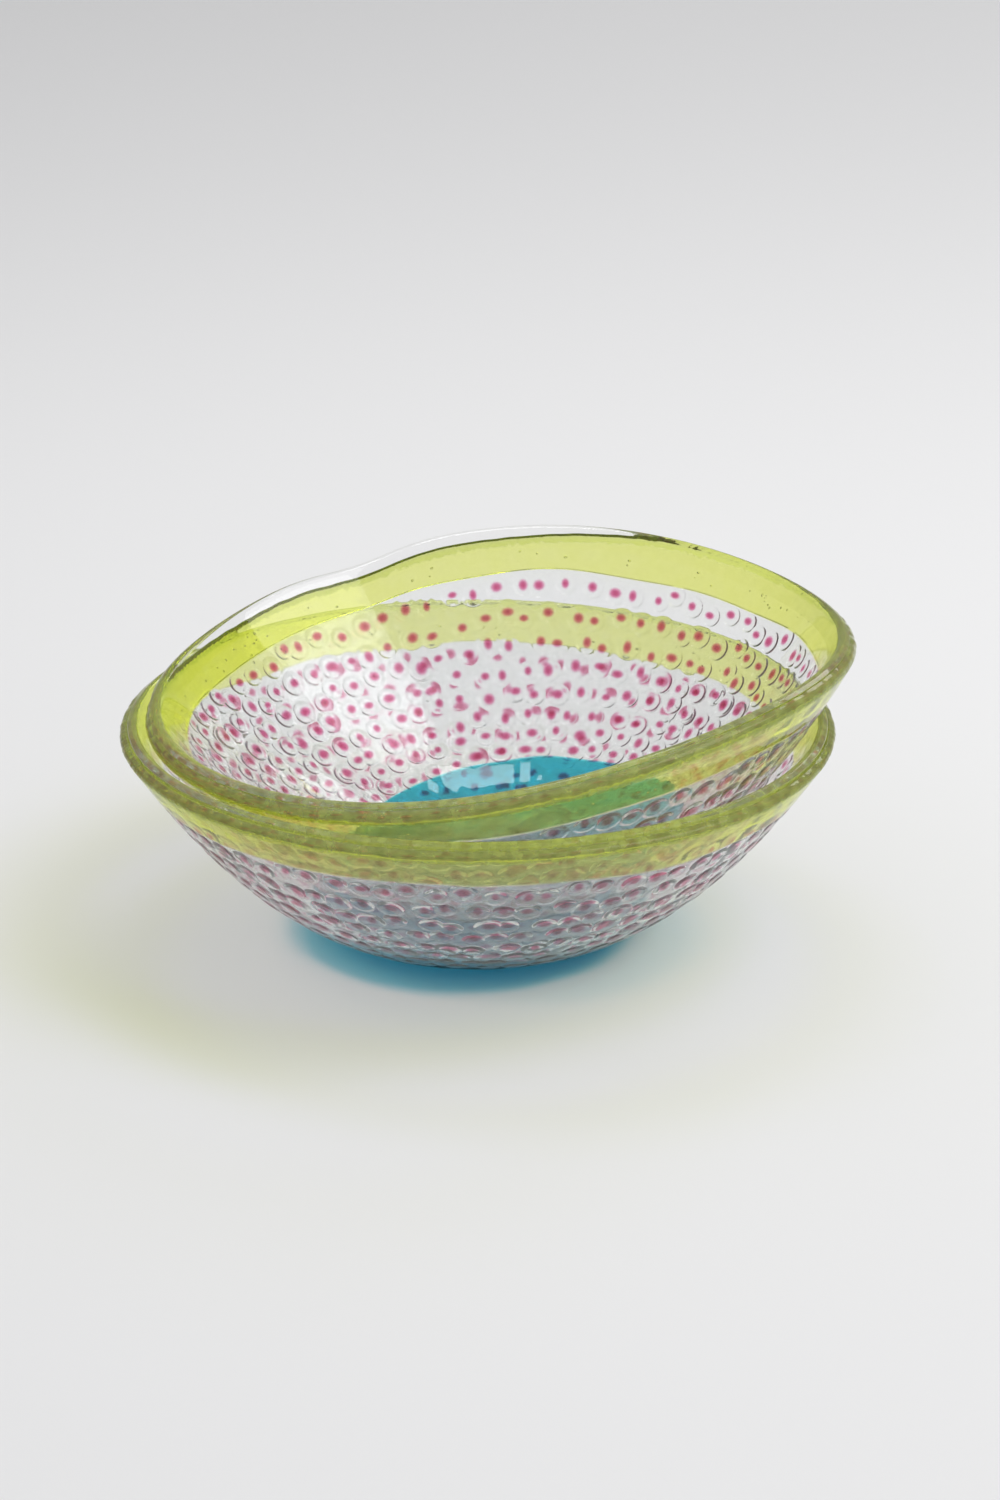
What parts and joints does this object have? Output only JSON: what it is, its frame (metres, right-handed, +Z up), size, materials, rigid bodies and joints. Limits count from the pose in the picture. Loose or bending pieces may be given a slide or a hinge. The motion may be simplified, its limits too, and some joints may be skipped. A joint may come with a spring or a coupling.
{
  "type": "nested art glass bowls",
  "caption": "Two nested kiln-fused glass bowls with turquoise foot, clear wall of magenta-cored cane slices and lime rim; the waved upper bowl lifts out.",
  "frame": {"origin": "centre of the lower bowl's flat foot, on the surface that it stands on", "axes": "+Z up, +Y towards the back, +X to the right; the upper bowl's rim is highest towards +X"},
  "size_m": [0.2545, 0.25, 0.1119],
  "materials": {
    "clear_glass": "fire-polished, smooth and clear",
    "turquoise_glass": "fire-polished transparent turquoise",
    "slice_glass": "clear cane slices with a soft magenta core, domed on the outside",
    "lime_glass": "fire-polished transparent chartreuse with seeds"
  },
  "bodies": {
    "lower_bowl": {"lower_clear_sheet": "clear_glass", "lower_base_disc": "turquoise_glass", "lower_slice_row_01": "slice_glass", "lower_slice_row_02": "slice_glass", "lower_slice_row_03": "slice_glass", "lower_slice_row_04": "slice_glass", "lower_slice_row_05": "slice_glass", "lower_slice_row_06": "slice_glass", "lower_slice_row_07": "slice_glass", "lower_slice_row_08": "slice_glass", "lower_rim_band": "lime_glass"},
    "upper_bowl": {"upper_clear_sheet": "clear_glass", "upper_base_disc": "turquoise_glass", "upper_slice_row_01": "slice_glass", "upper_slice_row_02": "slice_glass", "upper_slice_row_03": "slice_glass", "upper_slice_row_04": "slice_glass", "upper_slice_row_05": "slice_glass", "upper_slice_row_06": "slice_glass", "upper_slice_row_07": "slice_glass", "upper_slice_row_08": "slice_glass", "upper_rim_band": "lime_glass"}
  },
  "joints": [
    {"name": "upper_bowl_lift", "type": "slide", "parent": "lower_bowl", "child": "upper_bowl", "axis": [0, 0, 1], "range_m": [0, 0.1]}
  ]
}
